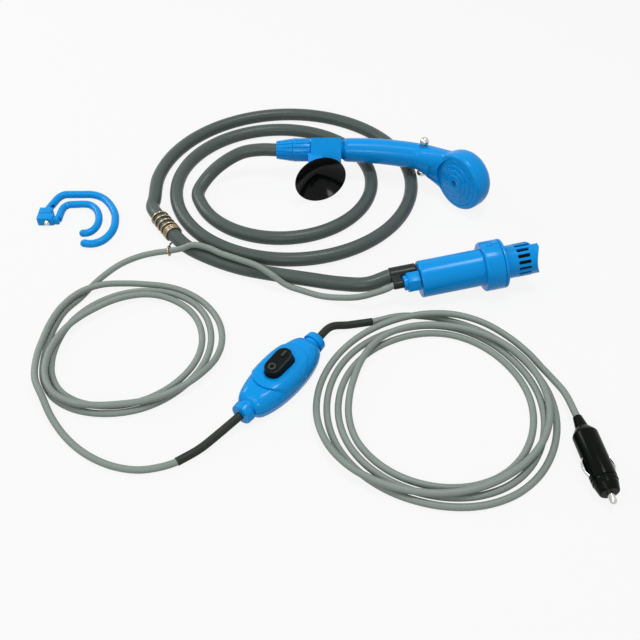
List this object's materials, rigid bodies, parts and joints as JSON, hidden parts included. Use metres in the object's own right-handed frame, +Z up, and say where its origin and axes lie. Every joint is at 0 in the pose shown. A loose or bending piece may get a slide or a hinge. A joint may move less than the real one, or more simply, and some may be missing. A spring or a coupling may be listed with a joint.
{
  "type": "camp shower pump",
  "caption": "Portable camp shower: submersible pump with strainer, hose to a hand shower with suction holder, cable with rocker switch and accessory plug, and a folding hook.",
  "frame": {"origin": "on the floor, under the centre of the box round the pump, the handset and the hook", "axes": "+X along the longest extent, from the hook to the strainer; +Y away from the viewer; +Z up from the floor"},
  "size_m": [0.5223, 0.5329, 0.062],
  "materials": {
    "blue_plastic": "satin gloss",
    "black_plastic": "gloss",
    "black_rubber": "gloss",
    "hose_rubber": "satin",
    "cable_sheath": "satin",
    "sleeve_rubber": "satin",
    "chrome": "polished",
    "steel": "plain",
    "bronze_wire": "tarnished",
    "copper": "wound wire",
    "white_plastic": "matte",
    "fuse_glass": "clear"
  },
  "bodies": {
    "kit": {"pump_casing": "blue_plastic", "motor_capsule": "white_plastic", "capsule_cover": "white_plastic", "motor_can": "steel", "motor_end_cap": "black_plastic", "motor_magnets": "steel", "shaft_seal": "black_rubber", "inlet_plate": "blue_plastic", "gland_nut": "blue_plastic", "gland_grommet": "black_rubber", "cable_stub": "cable_sheath", "pump_boot": "black_rubber", "hose_lead": "hose_rubber", "hose_coil": "hose_rubber", "hose_run": "hose_rubber", "hose_clip": "bronze_wire", "pump_lead": "cable_sheath", "left_coil": "cable_sheath", "switch_lead": "cable_sheath", "left_sleeve": "sleeve_rubber", "right_sleeve": "sleeve_rubber", "right_coil": "cable_sheath", "plug_lead": "cable_sheath", "switch_base": "blue_plastic", "switch_cover": "blue_plastic", "switch_ferrules": "blue_plastic", "rocker_pin": "steel", "contact_block": "black_plastic", "cover_screws": "steel", "plug_boot": "black_plastic", "plug_barrel": "black_plastic", "plug_nose": "black_plastic", "tip_spring": "steel", "fuse": "fuse_glass", "handset_body": "blue_plastic", "hose_nut": "blue_plastic", "hose_insert": "white_plastic", "rose_plate": "blue_plastic", "rose_gasket": "black_rubber", "rose_screw": "chrome", "ball_studs": "chrome"},
    "rotor": {"motor_shaft": "steel", "armature": "copper", "impeller": "white_plastic"},
    "strainer": {"strainer_cap": "blue_plastic", "filter_sleeve": "black_plastic"},
    "rocker": {"rocker": "black_plastic"},
    "plug_tip": {"plug_tip": "chrome"},
    "left_contact": {"left_contact": "chrome"},
    "right_contact": {"right_contact": "chrome"},
    "holder": {"holder_clip": "blue_plastic", "suction_cup": "black_rubber"},
    "hook": {"outer_hook": "blue_plastic", "hook_pin": "chrome"},
    "inner_hook": {"inner_hook": "blue_plastic"}
  },
  "joints": [
    {"name": "rotor_spin", "type": "hinge", "parent": "kit", "child": "rotor", "pos_m": [0.13478, -0.09031, 0.01725], "axis": [0.9799, 0.1728, 0.1], "continuous": true},
    {"name": "strainer_turn", "type": "hinge", "parent": "kit", "child": "strainer", "pos_m": [0.13478, -0.09031, 0.01725], "axis": [0.9799, 0.1728, 0.1], "range_deg": [0, 25]},
    {"name": "rocker_tilt", "type": "hinge", "parent": "kit", "child": "rocker", "pos_m": [0.00778, -0.20231, 0.017], "axis": [-0.7986, 0.6018, 0], "range_deg": [0, 12]},
    {"name": "tip_press", "type": "slide", "parent": "kit", "child": "plug_tip", "axis": [-0.1392, 0.9903, 0], "range_m": [0, 0.003], "stiffness_N_per_m": 300, "springref_m": -0.002},
    {"name": "left_contact_press", "type": "slide", "parent": "kit", "child": "left_contact", "axis": [-0.9903, -0.1392, 0], "range_m": [0, 0.002], "stiffness_N_per_m": 500, "springref_m": -0.002},
    {"name": "right_contact_press", "type": "slide", "parent": "kit", "child": "right_contact", "axis": [0.9903, 0.1392, 0], "range_m": [0, 0.002], "stiffness_N_per_m": 500, "springref_m": -0.002},
    {"name": "holder_turn", "type": "hinge", "parent": "kit", "child": "holder", "pos_m": [-0.00522, 0.09619, 0.031], "axis": [-1, 0, 0], "range_deg": [0, 100]},
    {"name": "hook_lift", "type": "slide", "parent": "kit", "child": "hook", "axis": [0, 0, 1], "range_m": [0, 0.06]},
    {"name": "hook_fold", "type": "hinge", "parent": "hook", "child": "inner_hook", "pos_m": [-0.23942, 0.01609, 0.005], "axis": [0, -1, 0], "range_deg": [0, 100]}
  ]
}
